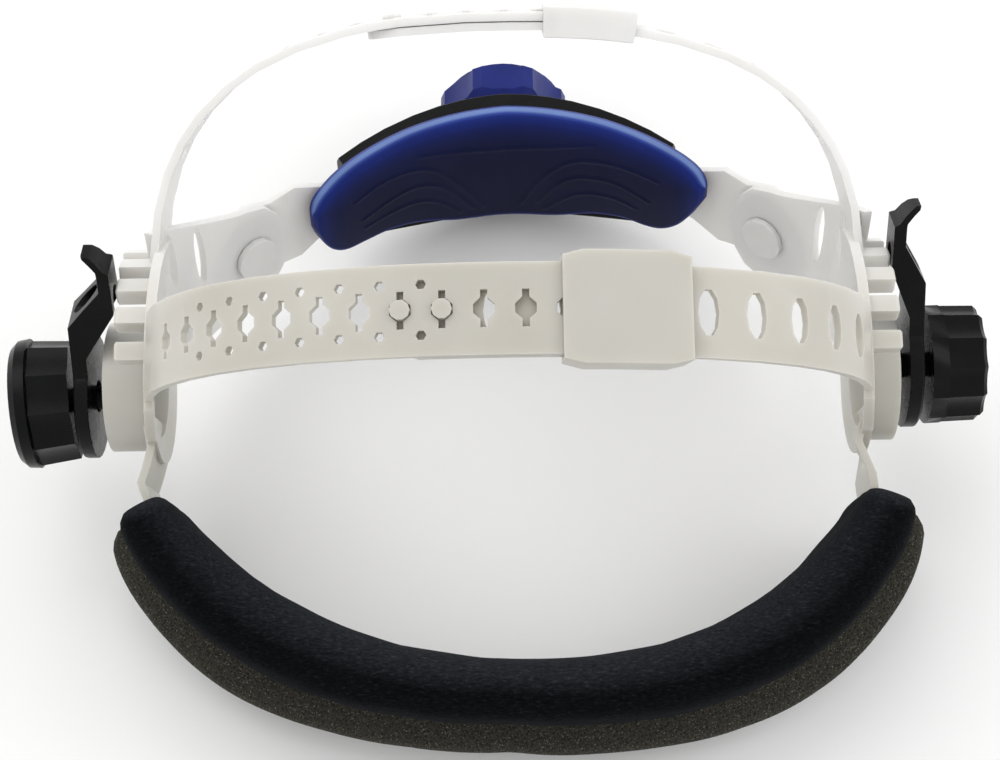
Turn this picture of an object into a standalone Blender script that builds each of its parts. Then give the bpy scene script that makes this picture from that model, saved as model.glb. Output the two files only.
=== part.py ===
"""Welding helmet headgear: the ratchet head harness that carries a welding helmet's shell.

The harness is a globe of straps. Every strap lies in a plane through the pivot axis, which runs along X
through both side bosses, and its meridian angle is measured from straight up towards the rear (+Y).
Front is -Y and up is +Z. The origin is the middle of the footprint, on the surface it rests on.
"""

import math

import bmesh
import bpy
from mathutils import Matrix, Vector

MM = 0.001
TINY = 1e-9

# Driving dimensions of the moulded plastic
GAP = 0.3 * MM                # clearance between pieces that touch
SHEET = 1.9 * MM              # thickness of every strap
PLATE_SHEET = 2.5 * MM        # thickness of the side plates
PLATE_RADIUS = 37.0 * MM      # side plate, about the pivot, between the two crown straps
PLATE_COLLAR = 3.2 * MM       # plate left around the boss below and in front
HALF_WIDTH = 91.5 * MM        # outer face of a side plate, on the pivot axis
PLATE_LEAN = math.tan(math.radians(10.0))   # how much the plate's cone falls inwards per unit of radius
STRAP_WIDTH = 20.0 * MM
LAYER_STEP = SHEET + GAP      # from the middle of one strap to the middle of the one that it lies on

# Boss, comb and pivot bolt
BOSS_RADIUS = 16.1 * MM
BOSS_WALL = 3.4 * MM
BOSS_FLOOR = 2.6 * MM
BOLT_RADIUS = 3.1 * MM
BOLT_CLEARANCE = 0.9 * MM     # the bolt is loose in the lever, so that the knob can sit askew
BOSS_CLEARANCE = 2.9 * MM     # and looser still in the boss
SLIP_ANGLE = 65.0             # meridian along which the clamped stack has slipped on the boss
BOLT_HEAD = 12.0 * MM
PEG_COUNT = 5
PEG_RADIUS = 32.2 * MM
PEG_FIRST = -10.8             # meridian angle of the foremost peg, degrees
PEG_PITCH = 15.4
PEG_WIDTH = 4.4 * MM
PEG_LENGTH = 6.6 * MM

# Crown straps: a superellipse over the head in a meridian plane, its ends set in from HALF_WIDTH.
# Hole places are measured from its middle
CROWN_BASE = 24.0 * MM
CROWNS = {
    "front": {"angle": -14.5, "inset": 6.7 * MM, "rise": 59.0 * MM, "power": 2.3, "tab": 27.0 * MM,
              "last_keyhole": 21.6 * MM, "first_slot": -2.8 * MM, "studs": (7, 8), "dimpled": (1, 7),
              "sleeve_start": 11.5 * MM, "sleeve_length": 27.5 * MM},
    "rear": {"angle": 52.0, "inset": 6.1 * MM, "rise": 65.2 * MM, "power": 2.6, "tab": 32.5 * MM,
             "last_keyhole": 17.7 * MM, "first_slot": -7.0 * MM, "studs": (7,), "dimpled": (0, -1),
             "sleeve_start": 9.4 * MM, "sleeve_length": 22.0 * MM},
}
STRAP_LEAVES = 33.0 * MM      # radius where a crown strap leaves the cone of its plate
TAB_REACH = 24.0 * MM         # how far each strap passes the middle, over or under its partner
TIP_ROUND = 8.0 * MM          # how long the rounding of a crown strap's tip is

# Forehead band and nape arms
BROW_ANGLE, BROW_FLARE, BROW_RISE, BROW_POWER = -105.3, 2.5 * MM, 77.0 * MM, 2.3
BROW_LEAVES = 29.0 * MM
NAPE_ANGLE, NAPE_BASE, NAPE_INSET, NAPE_RISE, NAPE_POWER = 105.0, 16.0 * MM, 4.0 * MM, 62.0 * MM, 1.6
NAPE_SKEW = math.tan(math.radians(2.5))   # the nape sits a little further back on the right
BROW_WIDTH = 22.0 * MM
BROW_SKEW = math.tan(math.radians(2.4))   # the band hangs a little lower on the right
BROW_TWIST = 13.0             # degrees that the right arm is turned between its plate and the sweatband
BROW_TWIST_SPAN = 17.5 * MM   # from the end of the band, inside the plate

# How finely the curves are cut into flats
FINE_STEP = 1.0 * MM
FACET_BEND = math.radians(12.0)
STRAP_STEP = 40.0 * MM
BROW_STEP = 9.0 * MM
PLATE_SIDES, DISC_SIDES, BOLT_SIDES = 32, 28, 16
FLUTE_SIDES, RIDGE_SIDES = 4, 5

# Holes of the crown straps
KEYHOLE_COUNT, KEYHOLE_PITCH = 13, 8.87 * MM
KEYHOLE_RADIUS, KEYHOLE_STEM, KEYHOLE_STEM_WIDTH = 2.5 * MM, 4.1 * MM, 1.5 * MM
DIMPLE_RADIUS, DIMPLE_ROW = 1.15 * MM, 5.5 * MM
SLOT_COUNT, SLOT_PITCH = 9, 11.57 * MM
SLOT_LENGTH, SLOT_WIDTH = 10.6 * MM, 4.9 * MM
STUD_RADIUS = KEYHOLE_RADIUS - GAP
STUD_RISE = 0.9 * MM          # how far a stud stands proud of the strap that it holds
SLEEVE_WALL = 1.3 * MM
SLEEVE_CHEEK = 2.1 * MM
SLEEVE_SHOULDER = 4.5 * MM

# Rear web of the side plate, and the arm that snaps to it
WEB_ROOT = 20.0 * MM
LOBE_RADIUS = 16.0 * MM
LOBE_REACH = 11.0 * MM        # the lobe is an oval, this far along the arm
LOBE_AT = 45.0 * MM           # distance of the snap hub from the pivot axis
HUB_RADIUS = 4.6 * MM
HUB_HEAD = 1.6 * MM
ARM_WIDTH = 26.0 * MM
RACK_WIDTH = 14.0 * MM
RACK_END = 12.0 * MM          # where each rack stops inside the housing, from the middle

# Nape pad and ratchet
PAD_SHEET = 4.6 * MM
PAD_HALF_LENGTH = 57.5 * MM
PAD_RISE, PAD_DROP = 22.0 * MM, 18.5 * MM
HOUSING_WALL = 1.6 * MM
HOUSING_COVER = 4.6 * MM
HOUSING_HALF_LENGTH = 45.0 * MM
HOUSING_HALF_HEIGHT = 19.0 * MM
DIAL_RADIUS = 18.0 * MM
DIAL_LENGTH = 13.5 * MM
DIAL_RIDGES = 8
DIAL_RIDGE = 1.5 * MM
SPINDLE_RADIUS = 4.0 * MM

# Tilt levers and side knobs
LEVER_SHEET = 3.6 * MM
LEVER_RADIUS = 15.4 * MM
LEVER_ARM_WIDTH = 13.0 * MM
LEVER_ARM_SHEET = 3.0 * MM    # thickness of the arm where it rides on the comb
LEVER_SHOULDER = 25.5 * MM    # radius where the arm's outer face starts to slope in
LEVER_WAIST = 35.0 * MM       # and where it ends
LEVER_SHELF = 40.0 * MM       # where the thin finger tab stands up
LEVER_TIP = 44.5 * MM
LEVER_LUG = 3.4 * MM          # how far the finger tab turns out
LEVER_SLOT_LENGTH, LEVER_SLOT_WIDTH = 7.6 * MM, 5.4 * MM
KNOB_FLUTE_DEPTH = 1.3 * MM

# Sweatband: a foam strip faced with fabric, folded over the forehead band
PAD_SLOT = 2 * LAYER_STEP + 4 * GAP
SWEAT_TOP, SWEAT_BOTTOM = 20.0 * MM, 21.0 * MM
SWEAT_SECTIONS = (
    # share of the half length, thickness inside the band, thickness outside it, cut foam edge beyond
    (0.00, 7.5 * MM, 7.4 * MM, 6.9 * MM),
    (0.30, 8.2 * MM, 8.2 * MM, 7.4 * MM),
    (0.62, 8.8 * MM, 9.2 * MM, 8.4 * MM),
    (0.84, 7.2 * MM, 9.4 * MM, 7.6 * MM),
    (0.94, 5.2 * MM, 9.4 * MM, 6.6 * MM),
    (1.00, 3.8 * MM, 8.6 * MM, 5.6 * MM),
)

# The two sides differ as in life: which is -1 for the left of the photograph and +1 for the right.
# boss_reach is the boss's outer end beyond HALF_WIDTH, fan how much each peg outreaches the one before it,
# lift the air between boss and lever, backed_off how far the knob is unscrewed from the lever
SIDES = {
    "left": {"which": -1, "boss_reach": 7.0 * MM, "fan": 0.4 * MM, "lift": 3.4 * MM, "backed_off": 0.2 * MM,
             "slip": -2.2 * MM, "droop": 5.0, "notch": 26.3, "flutes": 10, "knob_radius": 16.2 * MM,
             "knob_length": 14.4 * MM, "rim": "outer", "rim_length": 4.6 * MM, "sweat_end": 30.5 * MM},
    "right": {"which": 1, "boss_reach": 3.5 * MM, "fan": 0.0, "lift": 2.2 * MM, "backed_off": 1.5 * MM,
              "slip": 2.4 * MM, "droop": -1.0, "notch": 36.0, "flutes": 12, "knob_radius": 14.7 * MM,
              "knob_length": 13.6 * MM, "rim": "inner", "rim_length": 4.0 * MM, "sweat_end": 30.8 * MM},
}


def material(name, colour, roughness):
    made = bpy.data.materials.new(name)
    made.use_nodes = True
    shader = made.node_tree.nodes["Principled BSDF"]
    shader.inputs["Base Color"].default_value = (*colour, 1.0)
    shader.inputs["Roughness"].default_value = roughness
    shader.inputs["Metallic"].default_value = 0.0
    return made


def new_object(name, mesh_builder, paint=None):
    """An object from a bmesh, shaded smooth with sharp edges kept."""
    mesh = bpy.data.meshes.new(name)
    bmesh.ops.recalc_face_normals(mesh_builder, faces=mesh_builder.faces)
    if mesh_builder.calc_volume(signed=True) < 0:
        bmesh.ops.reverse_faces(mesh_builder, faces=mesh_builder.faces)
    mesh_builder.to_mesh(mesh)
    mesh_builder.free()
    mesh.shade_smooth()
    mesh.set_sharp_from_angle(angle=math.radians(35))
    made = bpy.data.objects.new(name, mesh)
    bpy.context.scene.collection.objects.link(made)
    made.parent = harness
    if paint:
        made.data.materials.append(paint)
    return made


def tool_object(name, mesh_builder):
    """A cutter or a piece to be joined: never part of the model by itself."""
    made = new_object(name, mesh_builder)
    made.hide_render = True
    made.display_type = "WIRE"
    return made


def combine(target, tool, operation):
    step = target.modifiers.new(tool.name, "BOOLEAN")
    step.operation = operation
    step.solver = "EXACT"
    step.object = tool


def add_loft(builder, rings):
    """Rings of points joined into a closed tube with flat ends."""
    made = [[builder.verts.new(point) for point in ring] for ring in rings]
    count = len(made[0])
    for first, second in zip(made, made[1:]):
        for index in range(count):
            after = (index + 1) % count
            builder.faces.new((first[index], first[after], second[after], second[index]))
    builder.faces.new(list(reversed(made[0])))
    builder.faces.new(made[-1])


def loft(name, rings, paint=None):
    builder = bmesh.new()
    add_loft(builder, rings)
    return new_object(name, builder, paint)


def ring_loft(name, outer, inner, paint):
    """A tube with a hollow right through: outer and inner rings joined at both ends."""
    builder = bmesh.new()
    skins = []
    for rings in (outer, inner):
        skins.append([[builder.verts.new(point) for point in ring] for ring in rings])
    count = len(outer[0])
    for skin in skins:
        for first, second in zip(skin, skin[1:]):
            for index in range(count):
                after = (index + 1) % count
                builder.faces.new((first[index], first[after], second[after], second[index]))
    for end in (0, -1):
        for index in range(count):
            after = (index + 1) % count
            builder.faces.new((skins[0][end][index], skins[0][end][after],
                               skins[1][end][after], skins[1][end][index]))
    return new_object(name, builder, paint)


def turned(name, profile, segments, place, paint=None, wave=None):
    """A closed profile of (radius, height) turned about the local Z axis and put where place says.

    wave(angle, radius, height) may return another radius, for flutes and ridges, or another
    radius and height.
    """
    rings = []
    builder = bmesh.new()
    for step in range(segments):
        angle = 2 * math.pi * step / segments
        ring = []
        for radius, height in profile:
            changed = wave(angle, radius, height) if wave else radius
            size, level = changed if isinstance(changed, tuple) else (changed, height)
            spot = Vector((size * math.cos(angle), size * math.sin(angle), level))
            ring.append(builder.verts.new(place @ spot))
        rings.append(ring)
    count = len(profile)
    for step in range(segments):
        first, second = rings[step], rings[(step + 1) % segments]
        for index in range(count):
            after = (index + 1) % count
            builder.faces.new((first[index], first[after], second[after], second[index]))
    return new_object(name, builder, paint)


def signed_power(value, power):
    return math.copysign(abs(value) ** power, value)


def superellipse(span, base, rise, power, steps=96):
    """Points (x, r) of the upper half of a superellipse, from the left end to the right end."""
    points = []
    for step in range(steps + 1):
        angle = math.pi * (1 - step / steps)
        across = span * signed_power(math.cos(angle), 2 / power)
        out = base + rise * abs(math.sin(angle)) ** (2 / power)
        points.append(Vector((across, out)))
    return points


class Line:
    """A plane curve of (x, r) points in the meridian plane at an angle, measured along its length."""

    def __init__(self, points, angle):
        self.points = points
        turn = math.radians(angle)
        self.out = Vector((0.0, math.sin(turn), math.cos(turn)))
        lift = Vector((0.0, math.cos(turn), -math.sin(turn)))
        self.up = lift if angle < 0 else -lift
        self.along = [0.0]
        for first, second in zip(points, points[1:]):
            self.along.append(self.along[-1] + (second - first).length)
        middle = min(range(len(points)), key=lambda index: abs(points[index].x))
        self.middle = self.along[middle]
        self.start, self.end = -self.middle, self.along[-1] - self.middle

    def flat(self, distance):
        """Point and outward normal in the plane, at a distance from the middle of the line."""
        goal = min(max(distance + self.middle, 0.0), self.along[-1])
        index = 1
        while index < len(self.points) - 1 and self.along[index] < goal:
            index += 1
        first, second = self.points[index - 1], self.points[index]
        share = (goal - self.along[index - 1]) / (self.along[index] - self.along[index - 1])
        before = self.points[max(index - 2, 0)]
        beyond = self.points[min(index + 1, len(self.points) - 1)]
        heading = ((second - before).normalized() * (1 - share) + (beyond - first).normalized() * share)
        heading.normalize()
        return first.lerp(second, share), Vector((-heading.y, heading.x))

    def place(self, distance, out=0.0, up=0.0):
        point, normal = self.flat(distance)
        spot = point + normal * out
        return Vector((spot.x, 0.0, 0.0)) + self.out * spot.y + self.up * up

    def distance_at(self, radius, which):
        """How far along the line lies the place on one side that is this far from the pivot axis."""
        for first, second, along in zip(self.points, self.points[1:], self.along):
            low, high = sorted((first.y, second.y))
            if first.x * which > 0 and low <= radius <= high and high > low:
                share = (radius - first.y) / (second.y - first.y)
                return along + (second - first).length * share - self.middle
        raise ValueError("the line never passes that radius")

    def stations(self, start, end, spacing, marks=()):
        """Distances from start to end, close together where the line bends.

        From the first to the last of the marks they are the marks, so that pieces which lie on
        each other there bend at the same places.
        """
        steps = max(4, math.ceil(abs(end - start) / FINE_STEP))
        fine = [start + (end - start) * index / steps for index in range(steps + 1)]
        spent = [0.0]
        for first, second in zip(fine, fine[1:]):
            bend = self.flat(first)[1].angle(self.flat(second)[1])
            spent.append(spent[-1] + bend / FACET_BEND + abs(second - first) / spacing)
        count = max(2, round(spent[-1]))
        chosen = []
        for index in range(count + 1):
            goal = spent[-1] * index / count
            nearest = min(range(steps + 1), key=lambda at: abs(spent[at] - goal))
            chosen.append(fine[nearest])
        low, high = min(start, end), max(start, end)
        marks = [mark for mark in marks if low <= mark <= high]
        if marks:
            first, last = min(marks) - FINE_STEP, max(marks) + FINE_STEP
            chosen = [place for place in chosen if not first < place < last]
        return sorted({start, end, *chosen, *marks}, reverse=end < start)


def plate_face(radius):
    """Outer face of a side plate at a distance from the pivot axis."""
    return HALF_WIDTH - PLATE_LEAN * radius


def rooted(arch, radii, angle):
    """A line whose two ends run down the middle of the plates' cones, at these radii."""
    root = [Vector((plate_face(radius) - PLATE_SHEET / 2, radius)) for radius in radii]
    left = [Vector((-point.x, point.y)) for point in root]
    return Line(left + arch + list(reversed(root)), angle)


def crown_line(label, layer):
    """A crown strap from the cone of one plate, over the head, to the other; layer lifts its crown."""
    values = CROWNS[label]
    curve = superellipse(HALF_WIDTH - values["inset"], CROWN_BASE, values["rise"] + layer, values["power"])
    arch = [point for point in curve if point.y > STRAP_LEAVES]
    return rooted(arch, [STRAP_LEAVES * share for share in (0.55, 0.7, 0.85)], values["angle"])


def brow_line(layer):
    """The forehead band, from collar to collar of the two plates."""
    curve = superellipse(HALF_WIDTH + BROW_FLARE, 0.0, BROW_RISE + layer, BROW_POWER)
    arch = [Vector((point.x, point.y + BROW_SKEW * point.x)) for point in curve if point.y > BROW_LEAVES]
    return rooted(arch, [BOSS_RADIUS * share for share in (0.5, 0.8, 1.1)], BROW_ANGLE)


def nape_line():
    """The line that the rear webs, the arms, the pad and the ratchet follow."""
    curve = superellipse(HALF_WIDTH - NAPE_INSET, NAPE_BASE, NAPE_RISE, NAPE_POWER)
    skewed = [Vector((point.x, point.y + NAPE_SKEW * point.x)) for point in curve]
    return Line([point for point in skewed if point.y > WEB_ROOT - 4 * MM], NAPE_ANGLE)


def strip(line, start, end, top, bottom, middle, sheet=SHEET, spacing=STRAP_STEP, twist=None, marks=()):
    """Rings of a strap along a line: top, bottom and middle are functions of the distance."""
    rings = []
    for distance in line.stations(start, end, spacing, marks):
        turn = math.radians(twist(distance)) if twist else 0.0
        ring = []
        for out, up in ((-0.5, 0), (0.5, 0), (0.5, 1), (-0.5, 1)):
            height = top(distance) if up else bottom(distance)
            depth = middle(distance) + out * sheet
            ring.append(line.place(distance,
                                   depth * math.cos(turn) + height * math.sin(turn),
                                   height * math.cos(turn) - depth * math.sin(turn)))
        rings.append(ring)
    return rings


def crown_marks(label):
    """Where both straps of a crown and their sleeve bend: at the rounded tips, between them, in the sleeve."""
    values = CROWNS[label]
    tips = [TAB_REACH - TIP_ROUND * share for share in (0.0, 0.12, 0.4, 1.0)]
    tips += [TIP_ROUND * share - values["tab"] for share in (0.0, 0.12, 0.4, 1.0)]
    return tips + [-9 * MM, 0.0, 8 * MM] + sleeve_marks(label)


def sleeve_marks(label):
    begin, length = CROWNS[label]["sleeve_start"], CROWNS[label]["sleeve_length"]
    return [begin, begin + SLEEVE_SHOULDER, begin + length - SLEEVE_SHOULDER, begin + length]


def constant(value):
    return lambda distance: value


def rounded_tip(half, tip, radius, direction):
    """Half width of a strap whose end at tip is rounded off; direction points past the tip."""
    def width(distance):
        left = (tip - distance) * direction
        if left >= radius:
            return half
        share = max(0.0, 1 - left / radius)
        return half - radius * (1 - math.sqrt(max(0.0, 1 - share * share))) * 0.9
    return width


def add_prism(builder, line, distance, outline, low, high):
    """A cutter or a stud: an outline of (along, up) points pushed through a strap along its normal."""
    point, normal = line.flat(distance)
    heading = Vector((normal.y, -normal.x))
    rings = []
    for depth in (low, high):
        ring = []
        for along, up in outline:
            spot = point + heading * along + normal * depth
            ring.append(Vector((spot.x, 0.0, 0.0)) + line.out * spot.y + line.up * up)
        rings.append(ring)
    add_loft(builder, rings)


def circle(radius, sides, across=0.0, up=0.0, phase=0.0):
    turn = 2 * math.pi / sides
    return [(across + radius * math.cos(turn * (index + phase)),
             up + radius * math.sin(turn * (index + phase))) for index in range(sides)]


def oval(length, width, sides=14, up=0.0):
    return [(width / 2 * math.cos(2 * math.pi * index / sides),
             up + length / 2 * math.sin(2 * math.pi * index / sides)) for index in range(sides)]


def keyhole():
    """A round hole with a short stem above and below."""
    points = []
    stem = KEYHOLE_STEM_WIDTH / 2
    edge = math.asin(stem / KEYHOLE_RADIUS)
    for side in (0, 1):
        points.append((stem * (1 - 2 * side), KEYHOLE_STEM * (2 * side - 1)))
        for step in range(4):
            angle = -math.pi / 2 + edge + (math.pi - 2 * edge) * step / 3 + side * math.pi
            points.append((KEYHOLE_RADIUS * math.cos(angle), KEYHOLE_RADIUS * math.sin(angle)))
        points.append((stem * (1 - 2 * side), KEYHOLE_STEM * (1 - 2 * side)))
    return points


def side_place(which, height=0.0, droop=0.0, slip=0.0):
    """The frame of a pivot: local Z points outwards from the head, local Y towards the rear."""
    outward = Vector((which, 0.0, 0.0))
    turn = Matrix.Rotation(math.radians(-droop * which), 4, "Z")
    outward = turn @ outward
    rear = turn @ Vector((0.0, 1.0, 0.0))
    third = rear.cross(outward)
    frame = Matrix((third, rear, outward)).transposed().to_4x4()
    spot = Vector((which * boss_end(which), 0.0, 0.0)) + outward * height + slipped(slip)
    frame.translation = spot
    return frame


def boss_end(which):
    """Outer face of a boss."""
    return HALF_WIDTH + SIDES["left" if which < 0 else "right"]["boss_reach"]


def slipped(slip):
    turn = math.radians(SLIP_ANGLE)
    return Vector((0.0, math.sin(turn), math.cos(turn))) * slip


def plate_and_boss(name, which):
    """The cone of a side plate and its hollow boss, turned as one profile."""
    place = side_place(which)
    inside = BOSS_RADIUS - BOSS_WALL
    base = HALF_WIDTH - boss_end(which)
    hole = BOLT_RADIUS + BOSS_CLEARANCE

    def face(radius):
        return base - PLATE_LEAN * radius

    profile = [
        (hole, -BOSS_FLOOR), (inside, -BOSS_FLOOR), (inside, face(inside) - PLATE_SHEET),
        (PLATE_RADIUS, face(PLATE_RADIUS) - PLATE_SHEET), (PLATE_RADIUS, face(PLATE_RADIUS)),
        (BOSS_RADIUS, face(BOSS_RADIUS)), (BOSS_RADIUS, 0.0), (hole, 0.0),
    ]
    def trimmed(angle, radius, height):
        """The plate is full size only between the crown straps and the rear web."""
        if radius < PLATE_RADIUS:
            return radius
        meridian = math.degrees(angle if which < 0 else math.pi - angle)
        meridian = (meridian + 180) % 360 - 180
        past = max(-30.0 - meridian, meridian - 100.0, 0.0)
        share = min(past / 42.0, 1.0)
        ease = share * share * (3 - 2 * share)
        size = radius + (BOSS_RADIUS + PLATE_COLLAR - radius) * ease
        return size, height + PLATE_LEAN * (radius - size)

    return turned(name, profile, PLATE_SIDES, place, white, trimmed)


def peg_end(side, index):
    """Outer face of a peg of the comb."""
    return plate_face(PEG_RADIUS) + PEG_LENGTH + SIDES[side]["fan"] * index


def peg(side, index):
    """One square peg of the comb, standing on the outer face of the plate."""
    which = SIDES[side]["which"]
    turn = math.radians(PEG_FIRST + PEG_PITCH * index)
    out = Vector((0.0, math.sin(turn), math.cos(turn)))
    along = Vector((0.0, math.cos(turn), -math.sin(turn)))
    foot = plate_face(PEG_RADIUS) - PLATE_SHEET / 2
    end = peg_end(side, index)
    half = PEG_WIDTH / 2
    rings = []
    for reach, size in ((foot, half), (end - 0.5 * MM, half), (end, half - 0.5 * MM)):
        ring = []
        for across, up in ((-1, -1), (1, -1), (1, 1), (-1, 1)):
            spot = out * (PEG_RADIUS + up * size) + along * (across * size)
            ring.append(Vector((which * reach, 0, 0)) + spot)
        rings.append(ring)
    return loft(f"{side}_peg_{index}", rings)


def web_top(line, which):
    """Upper edge of the rear web: from the root of the rear crown strap down to the snap lobe."""
    hub = line.distance_at(LOBE_AT, -1)
    root = line.start

    def height(distance):
        position = -abs(distance)
        share = (position - root) / (hub - root)
        if share < 1:
            return LOBE_RADIUS + (PLATE_RADIUS - LOBE_RADIUS) * (1 - share) ** 1.25
        past = min((position - hub) / LOBE_REACH, 1.0)
        return LOBE_RADIUS * math.sqrt(max(0.0, 1 - past * past)) + 0.2 * MM

    def depth(distance):
        position = -abs(distance)
        past = min(max((position - hub) / LOBE_REACH, 0.0), 1.0)
        return -LOBE_RADIUS * math.sqrt(max(0.0, 1 - past * past)) - 0.2 * MM

    return height, depth, hub


def moulding(side):
    """One side of the white moulding: plate, boss, comb, web, and half of each strap."""
    which = SIDES[side]["which"]
    layer = LAYERS[side]
    body = plate_and_boss("moulding_" + side, which)
    for index in range(PEG_COUNT):
        combine(body, hide(peg(side, index)), "UNION")

    nape = nape_line()
    height, depth, hub = web_top(nape, which)
    root = nape.start if which < 0 else nape.end
    marks = [-which * (hub + LOBE_REACH * share) for share in (0.0, 0.5, 0.8, 0.95, 1.0)]
    rings = strip(nape, root, marks[-1], height, depth, constant(0.0), SHEET + 0.2 * MM, 6 * MM, marks=marks)
    combine(body, hide(loft(f"{side}_web", rings)), "UNION")

    line = brow_line(layer)
    start = line.start if which < 0 else line.end
    tip = -which * TAB_REACH
    twist = brow_twist(line) if side == "right" else None
    marks = [TAB_REACH * share for share in (-1.0, -0.5, 0.0, 0.5, 1.0)]
    rings = strip(line, start, tip, constant(BROW_WIDTH / 2), constant(-BROW_WIDTH / 2), constant(0.0),
                  twist=twist, marks=marks, spacing=BROW_STEP)
    combine(body, hide(loft(f"{side}_brow_band", rings)), "UNION")

    for label, values in CROWNS.items():
        line = crown_line(label, layer)
        start = line.start if which < 0 else line.end
        tip = TAB_REACH if side == "left" else -values["tab"]
        width = rounded_tip(STRAP_WIDTH / 2, tip, TIP_ROUND, -which)
        rings = strip(line, start, tip, width, lambda distance: -width(distance), constant(0.0),
                      marks=crown_marks(label))
        combine(body, hide(loft(f"{side}_{label}_strap", rings)), "UNION")
        if side == "right":
            studs = bmesh.new()
            above = crown_line(label, LAYERS["left"])
            for index in values["studs"]:
                add_prism(studs, above, keyhole_place(values, index), circle(STUD_RADIUS, 10),
                          -LAYER_STEP, SHEET / 2 + STUD_RISE)
            combine(body, hide(new_object(f"{side}_{label}_studs", studs)), "UNION")

    cutters = bmesh.new()
    for label, values in CROWNS.items():
        line = crown_line(label, layer)
        if side == "left":
            cut_keyholes(cutters, line, values)
        else:
            for index in range(SLOT_COUNT):
                add_prism(cutters, line, values["first_slot"] + SLOT_PITCH * index,
                          oval(SLOT_LENGTH, SLOT_WIDTH, 10), -4 * SHEET, 4 * SHEET)
    add_web_cuts(cutters, nape, which, hub)
    combine(body, tool_object(f"{side}_holes", cutters), "DIFFERENCE")
    return body


def keyhole_place(values, index):
    return values["last_keyhole"] - KEYHOLE_PITCH * (KEYHOLE_COUNT - 1 - index)


def cut_keyholes(cutters, line, values):
    for index in range(KEYHOLE_COUNT):
        distance = keyhole_place(values, index)
        add_prism(cutters, line, distance, keyhole(), -4 * SHEET, 4 * SHEET)
        if values["dimpled"][0] <= index <= values["dimpled"][1]:
            for row in (-1, 1):
                add_prism(cutters, line, distance + KEYHOLE_PITCH / 2,
                          circle(DIMPLE_RADIUS, 6, up=row * DIMPLE_ROW), -4 * SHEET, 4 * SHEET)


def add_web_cuts(cutters, nape, which, hub):
    """The two long height slots of the web and the hole for the arm's snap hub."""
    for radius, low, high in ((23 * MM, 12 * MM, 31 * MM), (32 * MM, 3 * MM, 24 * MM)):
        distance = which * -nape.distance_at(radius, -1)
        add_prism(cutters, nape, distance, oval(high - low, 3.6 * MM, 12, (high + low) / 2), -8 * MM, 8 * MM)
    add_prism(cutters, nape, -which * hub, circle(HUB_RADIUS + GAP, 12), -8 * MM, 8 * MM)


def brow_twist(line):
    """The right arm turns its lower edge inwards between the plate and the sweatband."""
    def turn(distance):
        share = (line.end - distance) / BROW_TWIST_SPAN
        return -BROW_TWIST * math.sin(math.pi * share) ** 2 if 0 < share < 1 else 0.0
    return turn


def hide(piece):
    piece.hide_render = True
    piece.display_type = "WIRE"
    return piece


def sleeve(label):
    """A flat keeper around both straps, with chamfered shoulders."""
    line = crown_line(label, 0.0)
    outer, inner = [], []
    begin, end = sleeve_marks(label)[0], sleeve_marks(label)[-1]
    thick = LAYER_STEP + SHEET + 2 * GAP
    for distance in sorted(mark for mark in crown_marks(label) if begin <= mark <= end):
        near = min(distance - begin, end - distance)
        shoulder = min(1.0, near / SLEEVE_SHOULDER)
        half = STRAP_WIDTH / 2 + GAP + SLEEVE_CHEEK * (0.45 + 0.55 * shoulder)
        out = thick / 2 + SLEEVE_WALL
        outer.append([line.place(distance, *spot) for spot in
                      ((-out, -half), (out, -half), (out, half), (-out, half))])
        out, half = thick / 2, STRAP_WIDTH / 2 + GAP
        inner.append([line.place(distance, *spot) for spot in
                      ((-out, -half), (out, -half), (out, half), (-out, half))])
    return ring_loft(label + "_crown_sleeve", outer, inner, white)


def nape_arm(side):
    """The rack strap: a round lobe snapped to the web, an arm round the head, and a rack in the housing."""
    which = SIDES[side]["which"]
    nape = nape_line()
    _, _, hub = web_top(nape, which)
    lobe = LOBE_RADIUS - 1.5 * MM
    start, end = hub - lobe, -RACK_END
    enters = -HOUSING_HALF_LENGTH - 4 * MM

    def half(distance):
        position = -abs(distance)
        from_hub = position - hub
        if from_hub < lobe * 0.62:
            return math.sqrt(max(lobe * lobe - from_hub * from_hub, 0.0)) + 0.2 * MM
        if position > enters:
            return RACK_WIDTH / 2
        share = (enters - position) / (enters - hub - lobe * 0.62)
        return RACK_WIDTH / 2 + (ARM_WIDTH - RACK_WIDTH) / 2 * min(1.0, share * 1.6)

    marks = [which * -(hub + lobe * share) for share in (-0.96, -0.8, -0.5, 0.1, 0.6)]
    rings = strip(nape, which * -start, which * -end, half, lambda distance: -half(distance),
                  constant(ARM_LAYER), SHEET, 12.0 * MM, marks=marks)
    arm = loft("nape_arm_" + side, rings, white)
    peg_tool = bmesh.new()
    inner_face = -(SHEET + 0.2 * MM) / 2 - GAP
    add_prism(peg_tool, nape, -which * hub, circle(HUB_RADIUS, 12), inner_face - HUB_HEAD / 2, ARM_LAYER)
    combine(arm, tool_object(f"{side}_hub", peg_tool), "UNION")
    head = bmesh.new()
    add_prism(head, nape, -which * hub, circle(HUB_RADIUS + 1.4 * MM, 12), inner_face - HUB_HEAD, inner_face)
    combine(arm, tool_object(f"{side}_hub_head", head), "UNION")
    return arm


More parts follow.
